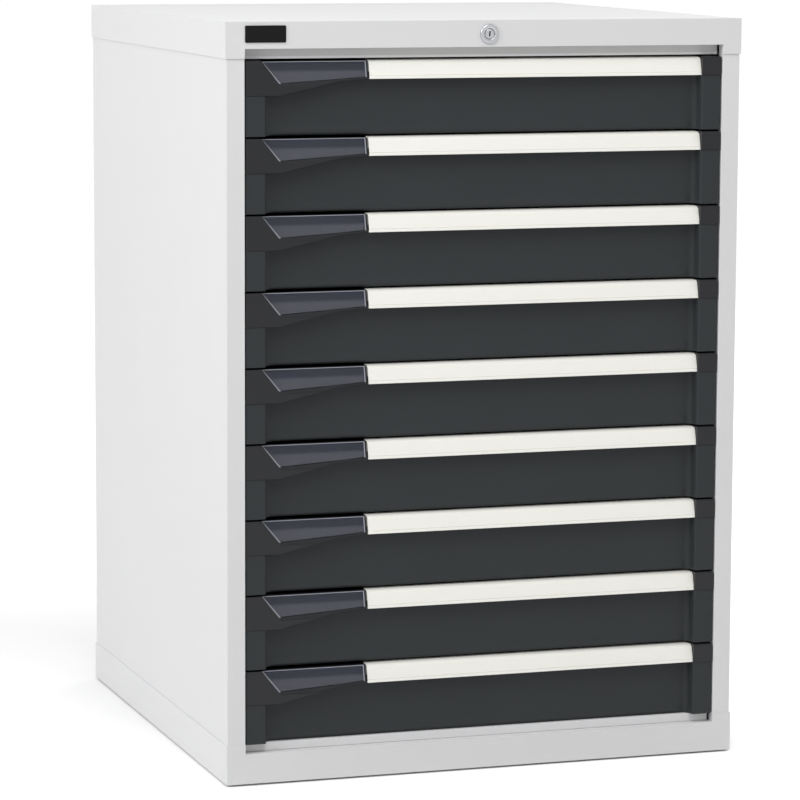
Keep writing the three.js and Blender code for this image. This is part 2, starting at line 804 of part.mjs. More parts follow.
for (const bay of bays) {
  const drawer = new THREE.Group();
  drawer.position.z = drawerTop(bay);
  for (const [name, body, material] of drawerPieces) {
    drawer.add(piece(`drawer_${bay + 1}_${name}`, body, material));
  }
  cabinet.add(drawer);
}

cabinet.position.y = (bezelStandOut - depth) / 2;

export default cabinet;
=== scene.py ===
# %% [markdown]
# A workshop drawer cabinet: a folded sheet-steel casing in light grey powder coat, nine dark drawers,
# and on each drawer a white extruded handle between a black moulded grip and a black end cap.
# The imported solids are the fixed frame. This lesson keeps those that are right and gives them soft
# edges and paint, and it builds smoother skins for the pieces whose curves the light shows.

import bpy
import numpy as np
from mathutils import Matrix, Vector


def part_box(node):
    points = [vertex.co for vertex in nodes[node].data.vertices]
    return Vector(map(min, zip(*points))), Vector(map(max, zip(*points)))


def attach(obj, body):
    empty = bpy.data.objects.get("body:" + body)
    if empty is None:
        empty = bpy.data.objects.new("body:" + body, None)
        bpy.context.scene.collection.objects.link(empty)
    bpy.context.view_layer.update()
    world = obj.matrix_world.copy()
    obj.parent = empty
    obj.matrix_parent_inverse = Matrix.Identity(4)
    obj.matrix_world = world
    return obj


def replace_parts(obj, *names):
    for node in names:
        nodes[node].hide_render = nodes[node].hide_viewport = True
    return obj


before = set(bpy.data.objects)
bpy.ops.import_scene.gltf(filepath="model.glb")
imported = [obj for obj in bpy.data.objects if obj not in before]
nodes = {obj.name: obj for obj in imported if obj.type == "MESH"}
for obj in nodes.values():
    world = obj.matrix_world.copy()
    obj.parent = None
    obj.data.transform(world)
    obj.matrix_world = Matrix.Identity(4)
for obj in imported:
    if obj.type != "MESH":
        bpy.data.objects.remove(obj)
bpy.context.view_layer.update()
drawers = range(1, 1 + sum(name.endswith("_handle") for name in nodes))
print("nodes:", len(nodes), "drawers:", len(drawers))

# %% [markdown]
# The photograph was taken from the left with a long lens, a little above the middle of the cabinet.
# The camera's place was found by fitting the cabinet's corners, and its focal length is in pixels of
# the picture. A camera looks along its own -Z, so its turn is built from right, up and backward.

# %% Camera at the photograph's viewing angle
camera_place = (-1.661, -5.015, 1.169)
camera_yaw, camera_pitch, camera_roll = np.radians((18.31, -7.74, 0.25))
picture_width, focal_length = 800, 3758


def camera_axes(yaw, pitch, roll):
    """Right, up and forward: a level heading, tipped by the pitch, and then rolled about forward."""
    ahead = np.array((np.sin(yaw), np.cos(yaw), 0))
    right = np.array((np.cos(yaw), -np.sin(yaw), 0))
    sky = np.array((0, 0, 1))
    forward = ahead * np.cos(pitch) + sky * np.sin(pitch)
    up = sky * np.cos(pitch) - ahead * np.sin(pitch)
    return right * np.cos(roll) + up * np.sin(roll), up * np.cos(roll) - right * np.sin(roll), forward


def new_object(name, data):
    """An object that shows some data, linked into the scene."""
    thing = bpy.data.objects.new(name, data)
    bpy.context.scene.collection.objects.link(thing)
    return thing


def set_axes(thing, x_axis, y_axis, z_axis, origin):
    """Puts an object at an origin, with its three axes along the given directions."""
    turn = np.eye(4)
    turn[:3, 0], turn[:3, 1], turn[:3, 2], turn[:3, 3] = x_axis, y_axis, z_axis, origin
    thing.matrix_world = Matrix(turn.tolist())


right, up, forward = camera_axes(camera_yaw, camera_pitch, camera_roll)
camera = new_object("camera", bpy.data.cameras.new("camera"))
set_axes(camera, right, up, -forward, camera_place)
camera.data.sensor_width = 36
camera.data.lens = focal_length / picture_width * camera.data.sensor_width
camera.data.clip_end = 200
bpy.context.scene.camera = camera
print("lens:", round(camera.data.lens, 1), "mm")

# %% [markdown]
# Every new piece is a mesh worked out with numpy. Its points are made in the row frame and its object
# stays at the origin, so that it sits where the solids say. Sheet metal is a path seen end on, with
# its corners rounded as a press brake leaves them, given a thickness and pushed along an axis.

# %% Paths, sheets and prisms
axis_columns = {"x": (1, 2, 0), "y": (0, 2, 1), "z": (0, 1, 2)}
nearly_straight = 1e-4
nearly_zero = 1e-9
same_point = 1e-7
bevel_angle = np.radians(32)


def add_piece(name, surface, body, material, smooth=True):
    """Puts a surface, given as points and faces, into a mesh that rides on a body."""
    points, faces = surface
    mesh = bpy.data.meshes.new(name)
    mesh.from_pydata(np.asarray(points, float).tolist(), [], faces)
    mesh.materials.append(material)
    mesh.polygons.foreach_set("use_smooth", np.full(len(mesh.polygons), smooth))
    mesh.update()
    piece = new_object(name, mesh)
    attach(piece, body)
    return piece


def rounded(corners, radius, steps=6, closed=False):
    """Each corner is cut back along both its edges by radius / tan(half its angle), and an arc about
    the centre on its bisector joins the two cuts. The arc's points are a blend of its two end spokes."""
    corners = np.asarray(corners, float)
    radius = np.broadcast_to(np.asarray(radius, float), len(corners)).copy()
    if not closed:
        radius[[0, -1]] = 0
    back, ahead = np.roll(corners, 1, 0) - corners, np.roll(corners, -1, 0) - corners
    back /= np.linalg.norm(back, axis=1, keepdims=True)
    ahead /= np.linalg.norm(ahead, axis=1, keepdims=True)
    half = np.arccos(np.clip((back * ahead).sum(1), -1, 1)) / 2
    radius[half > np.pi / 2 - nearly_straight] = 0
    middle = back + ahead
    middle /= np.maximum(np.linalg.norm(middle, axis=1, keepdims=True), nearly_zero)
    centre = corners + middle * (radius / np.sin(half))[:, None]
    first = corners + back * (radius / np.tan(half))[:, None] - centre
    last = corners + ahead * (radius / np.tan(half))[:, None] - centre
    sweep = np.maximum(np.pi - 2 * half, nearly_straight)[:, None, None]
    share = np.linspace(0, 1, steps + 1)[None, :, None]
    spokes = np.sin((1 - share) * sweep) * first[:, None] + np.sin(share * sweep) * last[:, None]
    points = (centre[:, None] + spokes / np.sin(sweep)).reshape(-1, 2)
    points = np.where((np.repeat(radius, steps + 1) > 0)[:, None], points,
                      np.repeat(corners, steps + 1, 0))
    apart = np.linalg.norm(points - np.roll(points, 1, 0), axis=1) > same_point
    if not closed:
        apart[0] = True
    return points[apart]


def offset(path, distance):
    """The path moved to its left by a distance: each point goes along the sum of the two side
    directions beside it, divided by one plus their dot product, which keeps the thickness even."""
    heading = np.diff(path, axis=0)
    heading /= np.linalg.norm(heading, axis=1, keepdims=True)
    side = np.stack((-heading[:, 1], heading[:, 0]), 1)
    before, after = np.vstack((side[:1], side)), np.vstack((side, side[-1:]))
    return path + distance * (before + after) / (1 + (before * after).sum(1, keepdims=True))


def sheet(path, thickness):
    """The closed outline of a folded sheet: the path out, and its offset back."""
    return np.vstack((path, offset(path, thickness)[::-1]))


def meet(point, angle, other, other_angle):
    """Where two lines cross, each given by a point and by its angle from the first axis."""
    headings = np.array([[np.cos(angle), -np.cos(other_angle)], [np.sin(angle), -np.sin(other_angle)]])
    along = np.linalg.solve(headings, np.subtract(other, point))[0]
    return np.add(point, along * headings[:, 0])


def signed_area(outline):
    """Twice the area inside a closed outline, and above zero if it runs against the clock."""
    across, along = outline.T
    return (across * np.roll(along, -1) - np.roll(across, -1) * along).sum()


def prism(outline, axis, span):
    """A closed outline pushed along an axis: one ring of points at each end of the span, a quad
    between each pair of neighbours, and the outline itself as the two end faces."""
    outline = np.asarray(outline, float)
    count = len(outline)
    if (signed_area(outline) < 0) != (axis == "y"):
        outline = outline[::-1]
    points = np.zeros((2, count, 3))
    first, second, along = axis_columns[axis]
    points[:, :, first], points[:, :, second] = outline[:, 0], outline[:, 1]
    points[0, :, along], points[1, :, along] = span
    here = np.arange(count)
    there = (here + 1) % count
    sides = np.stack((here, there, there + count, here + count), 1).tolist()
    return points.reshape(-1, 3), sides + [here[::-1].tolist(), (here + count).tolist()]


def slab(low, high):
    """A box between two corners."""
    return prism([(low[0], low[1]), (high[0], low[1]), (high[0], high[1]), (low[0], high[1])],
                 "z", (low[2], high[2]))


def grid(points, around=False):
    """A surface through a grid of points, closed round its columns if asked. It faces the side from
    which the rows run down while the columns run to the right."""
    rows, columns = points.shape[:2]
    row, column = np.meshgrid(np.arange(rows - 1), np.arange(columns - (not around)), indexing="ij")
    after = (column + 1) % columns
    quads = np.stack((row * columns + column, (row + 1) * columns + column,
                      (row + 1) * columns + after, row * columns + after), -1)
    return points.reshape(-1, 3), quads.reshape(-1, 4).tolist()


def capped(points, faces, sides):
    """A grid of rings with its first and last ring closed by a flat face."""
    start = len(points) - sides
    return points, faces + [list(range(sides)), list(range(start, start + sides))[::-1]]


def revolve(profile, centre, axis, sides):
    """A profile of (radius, place along the axis) turned about the axis through a centre, as a grid
    whose columns are the angles. A profile that doesn't return to its start gets two flat ends."""
    profile = np.asarray(profile, float)
    angle = np.linspace(0, 2 * np.pi, sides, endpoint=False)
    first, second, along = axis_columns[axis]
    ring = np.zeros((len(profile), sides, 3))
    ring[:, :, first] = centre[first] + profile[:, :1] * np.cos(angle)
    ring[:, :, second] = centre[second] + profile[:, :1] * np.sin(angle)
    ring[:, :, along] = profile[:, 1:]
    points, faces = grid(ring, around=True)
    if np.linalg.norm(profile[0] - profile[-1]) > nearly_zero:
        points, faces = capped(points, faces, sides)
    loop = np.vstack(([0, profile[0, 1]], profile, [0, profile[-1, 1]]))
    turned = (signed_area(loop) > 0) != (axis == "y")
    return points, [face[::-1] for face in faces] if turned else faces


def together(*surfaces):
    """Several surfaces as one, with the point numbers in their faces moved on."""
    points, faces, start = [], [], 0
    for some_points, some_faces in surfaces:
        points.append(some_points)
        faces += [[corner + start for corner in face] for face in some_faces]
        start += len(some_points)
    return np.vstack(points), faces


def mirrored(surface):
    """The same surface on the other side of the cabinet's middle plane."""
    points, faces = surface
    return points * (-1, 1, 1), [face[::-1] for face in faces]


def soften(piece, width, segments=2):
    """Rounds the sharp edges of a piece, as tooling and paint leave them."""
    bevel = piece.modifiers.new("edges", "BEVEL")
    bevel.width, bevel.segments = width, segments
    bevel.limit_method, bevel.angle_limit = "ANGLE", bevel_angle
    bevel.harden_normals = True
    return piece


corner = rounded([(0, 0), (1, 0), (1, 1)], 0.25)
print("a rounded corner has", len(corner), "points")

# %% [markdown]
# Paints and plastics differ in how rough they are and how their surface is broken up. A powder coat
# has a fine orange peel, a moulded plastic a finer grain, and zinc larger patches of sheen. Each
# pattern is a noise on Object coordinates, so it is tied to the piece and not to the camera. A Mix
# node has a set of sockets for each kind of data, so those for colours are called by their numbers.

# %% Material helpers
grain_detail, mottle_detail = 3, 2
bump_strength = 0.6
first_colour, second_colour, mixed_colour = 6, 7, 2


def linear(*channels):
    """Display values from 0 to 255 as the linear light that a shader works with."""
    value = np.array(channels) / 255
    light = np.where(value <= 0.04045, value / 12.92, ((value + 0.055) / 1.055) ** 2.4)
    return (*light.tolist(), 1)


def noise(tree, place, size, detail):
    """A noise on a piece's own coordinates, with features of a given size."""
    node = tree.nodes.new("ShaderNodeTexNoise")
    node.inputs["Scale"].default_value = 1 / size
    node.inputs["Detail"].default_value = detail
    tree.links.new(place.outputs["Object"], node.inputs["Vector"])
    return node


def math_node(tree, operation):
    """A Math node that does one operation."""
    node = tree.nodes.new("ShaderNodeMath")
    node.operation = operation
    return node


def finish(name, colour, roughness, grain_size, grain_height, mottle, mottle_size=0.12, **sockets):
    """A painted or moulded surface. One noise tilts the surface by a bump of a given height, and a
    second, much larger one makes the colour a little lighter and darker from place to place."""
    material = bpy.data.materials.new(name)
    material.use_nodes = True
    tree = material.node_tree
    shader = tree.nodes["Principled BSDF"]
    shader.inputs["Roughness"].default_value = roughness
    for socket, value in sockets.items():
        shader.inputs[socket.replace("_", " ")].default_value = value
    place = tree.nodes.new("ShaderNodeTexCoord")
    grain = noise(tree, place, grain_size, grain_detail)
    bump = tree.nodes.new("ShaderNodeBump")
    bump.inputs["Strength"].default_value = bump_strength
    bump.inputs["Distance"].default_value = grain_height
    patches = noise(tree, place, mottle_size, mottle_detail)
    spread = tree.nodes.new("ShaderNodeMapRange")
    spread.inputs["To Min"].default_value = 1 - mottle
    spread.inputs["To Max"].default_value = 1 + mottle
    tint = tree.nodes.new("ShaderNodeMix")
    tint.data_type, tint.blend_type = "RGBA", "MULTIPLY"
    tint.inputs["Factor"].default_value = 1
    tint.inputs[first_colour].default_value = linear(*colour)
    join = tree.links.new
    join(grain.outputs["Fac"], bump.inputs["Height"])
    join(bump.outputs["Normal"], shader.inputs["Normal"])
    join(patches.outputs["Fac"], spread.inputs["Value"])
    join(spread.outputs["Result"], tint.inputs[second_colour])
    join(tint.outputs[mixed_colour], shader.inputs["Base Color"])
    return material


def clear_plate(name, colour, alpha, roughness):
    """A clear plate: a smooth gloss that lets a share of what lies behind it through."""
    material = finish(name, colour, roughness, grain_size=0.004, grain_height=0.0000002, mottle=0.01)
    material.node_tree.nodes["Principled BSDF"].inputs["Alpha"].default_value = alpha
    return material


def painted_reflection_card(name, upper, lower, pitch, top, foot):
    """The card behind a window is painted with reflection and shade that change from one colour to another
    down each drawer: its height is wrapped at the drawer pitch, and the change lies in a band round the
    middle of the window."""
    shade_above, shade_below = 0.0042, 0.0016
    material = finish(name, upper, roughness=0.5, grain_size=0.0008, grain_height=0.00001, mottle=0.02)
    tree = material.node_tree
    place = next(node for node in tree.nodes if node.type == "TEX_COORD")
    tint = next(node for node in tree.nodes if node.type == "MIX")
    split = tree.nodes.new("ShaderNodeSeparateXYZ")
    wrap = math_node(tree, "WRAP")
    wrap.inputs[1].default_value, wrap.inputs[2].default_value = top, top - pitch
    middle = (top + foot) / 2
    share = tree.nodes.new("ShaderNodeMapRange")
    share.interpolation_type = "SMOOTHSTEP"
    share.inputs["From Min"].default_value = middle + shade_above
    share.inputs["From Max"].default_value = middle - shade_below
    blend = tree.nodes.new("ShaderNodeMix")
    blend.data_type = "RGBA"
    blend.inputs[first_colour].default_value = linear(*upper)
    blend.inputs[second_colour].default_value = linear(*lower)
    tree.links.new(place.outputs["Object"], split.inputs[0])
    tree.links.new(split.outputs["Z"], wrap.inputs[0])
    tree.links.new(wrap.outputs[0], share.inputs["Value"])
    tree.links.new(share.outputs["Result"], blend.inputs["Factor"])
    tree.links.new(blend.outputs[mixed_colour], tint.inputs[first_colour])
    return material


# %% [markdown]
# The tones were chosen by comparing renders with the photograph. The numbers after a colour are the
# roughness, the size and height of the grain, and how far and how widely the colour varies.

# %% Paints, plastics and metals
grey_paint = finish("grey powder coat", (223, 223, 224), 0.58, 0.0009, 0.00002, 0.012,
                    Specular_IOR_Level=0.2)
# The head rail's paint is a darker copy of the grey powder coat: painted shade for its band set back under
# the cap.
shaded_rail_paint = finish("grey paint, darker for painted shade", (198, 198, 197), 0.55, 0.0009, 0.00002, 0.012,
                    Specular_IOR_Level=0.3)
dark_paint = finish("dark powder coat", (51, 54, 56), 0.45, 0.0008, 0.000025, 0.05,
                    Specular_IOR_Level=0.15)
white_paint = finish("white handle coat", (244, 243, 236), 0.38, 0.0012, 0.00001, 0.01,
                     Specular_IOR_Level=0.4)
black_plastic = finish("black moulding", (20, 21, 25), 0.36, 0.0006, 0.00003, 0.04,
                       Specular_IOR_Level=0.36)
zinc = finish("zinc plating", (184, 188, 190), 0.38, 0.004, 0.00001, 0.08, 0.02, Metallic=0.85)
# The chrome's colour varies in small blotches, partly wear and partly painted reflection.
chrome = finish("polished chrome", (186, 187, 190), 0.24, 0.002, 0.000004, 0.16, 0.0035, Metallic=1.0)
# A near-black for the inside of the keyhole: painted shade in the hole.
keyway_painted_shade = finish("keyway, painted shade", (30, 29, 30), 0.6, 0.001, 0.000005, 0.05, Specular_IOR_Level=0.1)
badge_black = finish("blank badge", (14, 14, 15), 0.55, 0.003, 0.000005, 0.02,
                     Specular_IOR_Level=0.15)
roller_nylon = finish("roller nylon", (222, 221, 214), 0.42, 0.002, 0.00001, 0.02)
# A light colour for the window's edge band: a painted highlight where the polished edge catches light.
highlight_edge_paint = finish("window edge, painted highlight", (152, 154, 164), 0.22, 0.002, 0.000003, 0.01)
window_plastic = clear_plate("clear label window", (58, 64, 82), 0.1, 0.16)
print("materials:", len(bpy.data.materials))

# %% [markdown]
# Most of the casing is flat sheet, and its solids are right as they are. Three modifiers finish them
# without touching their meshes: the loose triangles are welded, coplanar ones become whole faces, and
# a small bevel rounds the folds, so that each edge catches a line of light.

# %% Soft edges and paint on the solids
weld_distance = 1e-6
flat_angle = np.radians(1)
handle_edge, fine_edge, small_edge = 0.00015, 0.0002, 0.0003
fold_edge, moulded_edge, cap_edge = 0.0007, 0.0009, 0.002


def finish_node(name, material, width, segments=2):
    """Paints a solid and rounds its folds with live modifiers."""
    node = nodes[name]
    node.data.materials.clear()
    node.data.materials.append(material)
    weld = node.modifiers.new("weld", "WELD")
    weld.merge_threshold = weld_distance
    planar = node.modifiers.new("planar", "DECIMATE")
    planar.decimate_type, planar.angle_limit = "DISSOLVE", flat_angle
    soften(node, width, segments)


for name in ("top_cover", "base_tray"):
    finish_node(name, grey_paint, small_edge)
for name in ("side_panel_left", "side_panel_right", "back_panel", "foot_rail"):
    finish_node(name, grey_paint, fold_edge)
# The head rail takes the darker grey, which is painted shade in its recess.
finish_node("head_rail", shaded_rail_paint, fold_edge)
for name in ("rack_left", "rack_right", "lock_cam", "lock_slide", "lock_bar"):
    finish_node(name, zinc, small_edge)
for k in drawers:
    finish_node(f"drawer_{k}_grip", black_plastic, moulded_edge, 3)
    finish_node(f"drawer_{k}_end_cap", black_plastic, cap_edge, 4)
    finish_node(f"drawer_{k}_label_window", window_plastic, fine_edge)
print("solids finished:", sum(len(node.modifiers) > 0 for node in nodes.values()))

# %% [markdown]
# The front of a drawer is one pressed sheet. Seen from above it runs from a return at each side round
# a fold to a narrow strip, and over a soft shoulder to the recessed panel. Its foot rolls back under
# the panel. The skin is one grid: across it the plan path, down it the height, and the roll adds its
# own depth, which fades to nothing towards the shoulders as it does where a press draws a corner.

# %% Places that the drawers share
# Read from the boxes of the drawers' solids
body_low, body_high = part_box("drawer_1_body")
drawer_tops = {k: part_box(f"drawer_{k}_grip")[1].z for k in drawers}
front_half = body_high.x
strip_face = body_low.y
front_height = drawer_tops[1] - body_low.z
grip_height = drawer_tops[1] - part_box("drawer_1_grip")[0].z
cap_height = drawer_tops[1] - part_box("drawer_1_end_cap")[0].z
panel_drop = drawer_tops[1] - body_high.z
tray_rear = body_high.y

# The front seen from above, from its strip to the recessed panel
strip_width = 0.02725
recess_depth = 0.016
panel_face = strip_face + recess_depth
shoulder_run = 0.0034
shoulder_radius = 0.0034
hollow_radius = 0.008
front_sheet = 0.0012
strip_return = 0.012
fold_radius = 0.0016

# The rolled foot, its fade towards the shoulders, the points put in there, and the flare above it
roll_radius = 0.005
roll_height = 0.0046
roll_fade = 0.012
fade_end, fade_points = 0.001, 7
plain_steps, flare_steps, roll_steps = 3, 7, 8
flare_depth, flare_height = 0.0016, 0.012
foot_drop = 0.0009

# The outer face of the tray's wall as on its solid, to a micron, and the gap between neighbours
tray_half = 0.298593
clear_gap = 0.0003
print("front:", round(2 * front_half, 3), "by", round(front_height, 4), "m")

# %% [markdown]
# Each column of the front's grid stands at a point of the plan path. Its rows come in three stretches:
# plain down from the upper edge, then the flare, and then the roll.

# %% Drawer front
def smooth(share):
    """Three times the square less twice the cube, which starts and ends level."""
    share = np.clip(share, 0, 1)
    return share ** 2 * (3 - 2 * share)


def front_plan():
    """Right half of the front seen from above: panel, shoulder, strip, fold and return. More points
    are put in where the roll fades and where the front's upper edge steps down beside the handle."""
    inner = front_half - strip_width
    corners = [(0, panel_face), (inner - shoulder_run, panel_face), (inner, strip_face),
               (front_half, strip_face), (front_half, strip_face + strip_return)]
    path = rounded(corners, (0, hollow_radius, shoulder_radius, fold_radius, 0), steps=10)
    step = tray_half + np.array((-clear_gap, clear_gap)) / 2
    extra = np.append(np.linspace(tray_half - roll_fade, tray_half - fade_end, fade_points), step)
    values = np.stack((extra, np.interp(extra, path[:, 0], path[:, 1])), 1)
    return np.insert(path, np.searchsorted(path[:, 0], extra), values, axis=0)


def drawer_front(z):
    """The skin as a grid of points, before it is given its thickness."""
    half = front_plan()
    plan = np.vstack((half[::-1] * (-1, 1), half[1:]))
    x, depth = plan[:, 0], plan[:, 1]
    top = np.where(x < -tray_half, z - grip_height - clear_gap,
                   np.where(x > tray_half, z - cap_height - clear_gap, z - panel_drop))
    roll_top = z - front_height - foot_drop + roll_height
    down = np.linspace(0, 1, plain_steps + 1)[:, None]
    out = np.linspace(0, 1, flare_steps + 1)[1:, None]
    turn = np.linspace(0, np.arcsin(roll_height / roll_radius), roll_steps + 1)[1:, None]
    fade = smooth((tray_half - abs(x)) / roll_fade)
    flare_top = roll_top + flare_height
    heights = np.vstack((top + down * (flare_top - top), flare_top - out * flare_height + 0 * x,
                         roll_top - roll_radius * np.sin(turn) + 0 * x))
    forward = np.vstack((0 * down * x, flare_depth * smooth(out) * fade,
                         (flare_depth - roll_radius * (1 - np.cos(turn))) * fade))
    return grid(np.stack((np.broadcast_to(x, heights.shape), depth - forward, heights), -1))


for k in drawers:
    skin = add_piece(f"drawer_{k}_front", drawer_front(drawer_tops[k]), f"drawer_{k}", dark_paint)
    shell = skin.modifiers.new("sheet", "SOLIDIFY")
    shell.thickness, shell.offset = front_sheet, -1
    soften(skin, small_edge)
print("plan points across a front:", 2 * len(front_plan()) - 1)

# %% [markdown]
# Behind the front comes the tray, a folded box whose side walls end in a stiffening rim. A channel
# with a roller at its rear end runs along each side, and a catch stands out on the right.

# %% Trays, runners and catches
tray_sheet = 0.001
tray_drop = 0.015
tray_rim = 0.007
tray_bend = 0.0012
cheek_points = 8
rim_inset = 0.024
runner_sheet = 0.0015
runner_drop = 0.049
runner_half = 0.0148
runner_reach = 0.012
runner_bend = 0.002
roller_radius = 0.013

# The two faces of the right rear roller as on its solid, to within two microns
roller_span = (0.316545, 0.324545)
rear_roller_inset = 0.012
stem_radius, collar_radius, collar_width = 0.004, 0.0055, 0.0002
catch_drop, catch_height, catch_sheet = 0.019, 0.01, 0.003
catch_setback, catch_inset, catch_corner = 0.022, 0.001, 0.003
catch_front = panel_face + catch_setback
catch_tip = front_half - catch_inset


def drawer_tray(z):
    """Floor and walls as one folded sheet, wall ends that follow the rolled foot, rims and a back."""
    foot, top, start = z - front_height, z - tray_drop, panel_face + front_sheet
    walls = rounded([(tray_half, top), (tray_half, foot), (-tray_half, foot), (-tray_half, top)],
                    tray_bend, steps=4)
    turn = np.linspace(0, np.arcsin(roll_height / roll_radius), cheek_points)
    roll = np.stack((start + roll_radius * (1 - np.cos(turn)),
                     foot + roll_height - roll_radius * np.sin(turn)), 1)
    cheek = np.vstack(([(start, top)], roll, [(start + roll_radius, foot), (start + roll_radius, top)]))
    side = prism(cheek, "x", (tray_half - tray_sheet, tray_half))
    rim = slab((tray_half - tray_sheet, start + rim_inset, top - tray_sheet),
               (tray_half + tray_rim, tray_rear, top))
    under = slab((-tray_half + tray_sheet, start + roll_radius / 2, foot),
                 (tray_half - tray_sheet, start + roll_radius, foot + tray_sheet))
    back = slab((-tray_half + tray_sheet, tray_rear - tray_sheet, foot + tray_sheet),
                (tray_half - tray_sheet, tray_rear, top))
    box = prism(sheet(walls, -tray_sheet), "y", (start + roll_radius, tray_rear))
    return together(box, side, mirrored(side), rim, mirrored(rim), under, back)


def runner_channel(z):
    """The channel on the right wall, open outwards, with the axle stem of its roller."""
    middle = z - runner_drop
    web, lip = tray_half, tray_half + runner_reach
    path = rounded([(lip, middle + runner_half), (web, middle + runner_half),
                    (web, middle - runner_half), (lip, middle - runner_half)], runner_bend, steps=4)
    channel = prism(sheet(path, runner_sheet), "y", (catch_front + catch_sheet + clear_gap, tray_rear))
    place = (0, tray_rear - rear_roller_inset, middle)
    inner = roller_span[0]
    stem = revolve([(stem_radius, web), (stem_radius, inner), (collar_radius, inner),
                    (collar_radius, inner + collar_width)], place, "x", sides=24)
    return together(channel, stem)


def runner_roller(z):
    """A nylon roller: a rounded tread and a dished face with a rivet head in the middle."""
    inner, outer = roller_span
    tread, hub, dish, rivet = 0.0012, 0.005, 0.001, 0.004
    profile = [(hub, inner), (roller_radius - tread, inner), (roller_radius, inner + tread),
               (roller_radius, outer - tread), (roller_radius - tread, outer),
               (roller_radius - 2 * tread, outer), (roller_radius - 3 * tread, outer - dish),
               (hub, outer - dish), (rivet, outer - dish / 4)]
    return revolve(profile, (0, tray_rear - rear_roller_inset, z - runner_drop), "x", sides=48)


def drawer_catch(z):
    """The catch plate, with its free corners rounded."""
    high, low = z - catch_drop, z - catch_drop - catch_height
    outline = rounded([(tray_half, low), (catch_tip, low), (catch_tip, high), (tray_half, high)],
                      (0, catch_corner, catch_corner, 0), steps=5, closed=True)
    return prism(outline, "y", (catch_front, catch_front + catch_sheet))


for k in drawers:
    z, body = drawer_tops[k], f"drawer_{k}"
    channel, roller = runner_channel(z), runner_roller(z)
    tray = soften(add_piece(f"{body}_tray", drawer_tray(z), body, dark_paint), fine_edge)
    soften(add_piece(f"{body}_runners", together(channel, mirrored(channel)), body, zinc), fine_edge)
    soften(add_piece(f"{body}_rollers", together(roller, mirrored(roller)), body, roller_nylon), fine_edge)
    soften(add_piece(f"{body}_catch", drawer_catch(z), body, zinc), small_edge)
    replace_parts(tray, f"{body}_body")
print("trays:", len(drawers))

# %% [markdown]
# The handle is an aluminium extrusion, so one closed outline gives its whole length: a hooked foot, a
# lip set back by a fine step, a raked face, a round nose, a crown that rises to the back, and the two
# blades that clip over the top edge of the front.

# %% Handles
handle_low, handle_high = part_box("drawer_1_handle")
handle_wall = 0.002
handle_hook = 0.0045
handle_lip = 0.0042
handle_step = 0.0006
nose_radius = 0.0068
handle_corner = 0.0006
face_angle, crown_angle = np.radians((75, 6))
back_lip = 0.006
blade = 0.0018
blade_drops = (0.016, 0.012)


def handle_section(z):
    """The outline in (y, z). Its inner side lies one wall inside the outer, and where the crown's
    underside meets a blade it runs down the blade and up again."""
    lift = z - drawer_tops[1]
    foot = np.array((handle_low.y, handle_low.z + lift))
    crown = np.array((handle_high.y, z))
    along = np.array((np.cos(face_angle), np.sin(face_angle)))
    inward = np.array((np.sin(face_angle), -np.cos(face_angle)))
    below = crown + np.array((np.sin(crown_angle), -np.cos(crown_angle))) * handle_wall
    nose = meet(foot, face_angle, crown, crown_angle)
    inner_nose = meet(foot + inward * handle_wall, face_angle, below, crown_angle)
    inner_foot = meet(foot + inward * handle_wall, face_angle, foot + (0, handle_wall), 0)

    def under(y):
        """The point of the crown's underside at a depth."""
        return y, below[1] + (y - below[0]) * np.tan(crown_angle)

    blades = []
    for start, drop in ((panel_face + front_sheet + clear_gap, blade_drops[1]),
                        (panel_face - clear_gap - blade, blade_drops[0])):
        end = start + blade
        blades += [under(end), (end, z - drop), (start, z - drop), under(start)]
    set_back = foot + inward * handle_step
    corners, radii = zip(
        ((foot[0] + handle_hook, foot[1]), 0),
        (meet(set_back, face_angle, foot, 0), handle_corner),
        (set_back + along * handle_lip, 0),
        (foot + along * (handle_lip + handle_step), 0),
        (nose, nose_radius),
        (crown, handle_corner),
        (crown - (0, back_lip), 0),
        (crown - (handle_wall, back_lip), 0),
        (under(crown[0] - handle_wall), 0),
        *((point, 0) for point in blades),
        (inner_nose, nose_radius - handle_wall),
        (inner_foot, 0),
        ((foot[0] + handle_hook, foot[1] + handle_wall), 0),
    )
    return rounded(corners, radii, steps=14, closed=True)


for k in drawers:
    section = handle_section(drawer_tops[k])
    bar = add_piece(f"drawer_{k}_white_handle", prism(section, "x", (handle_low.x, handle_high.x)),
                    f"drawer_{k}", white_paint)
    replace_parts(soften(bar, handle_edge), f"drawer_{k}_handle")
print("points in the handle's outline:", len(section))

# %% [markdown]
# Each grip holds a clear window over a card. The card's colours are painted reflection and shade,
# dark above and lighter below, and the window's edge is a light band, a painted highlight. The grip's
# face is raked, so the card and the band are drawn on the window's own outline and laid back on that rake.

# %% Label cards and window rims
window_low, window_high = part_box("drawer_1_label_window")
face_rake = np.radians(14)
window_sheet = 0.0015
window_heel_inset = 0.0228
window_toe_inset = 0.1085
window_toe_rise = 0.0051
window_tip_rise = 0.0077
slant_band, top_band, end_band = 0.0023, 0.0009, 0.0014
rim_proud = 0.0002
top_share, heel_share = 1.6, 0.6
card_inset = 0.0006
card_depths = (0.0003, 0.0006)
card_headroom = 0.001


def window_outline(z, margin):
    """Corners in (x, z), from the top left down the slanted end, along the foot and up the right. The
    slanted end's two corners move in by their own shares of the margin."""
    lift = z - drawer_tops[1]
    left, end, top, foot = window_low.x, window_high.x, window_high.z + lift, window_low.z + lift
    return np.array([
        (left + margin * top_share, top - margin),
        (left + window_heel_inset + margin * heel_share, foot + margin),
        (left + window_toe_inset, foot + window_toe_rise + margin),
        (end - margin, foot + window_tip_rise + margin),
        (end - margin, top - margin),
    ])


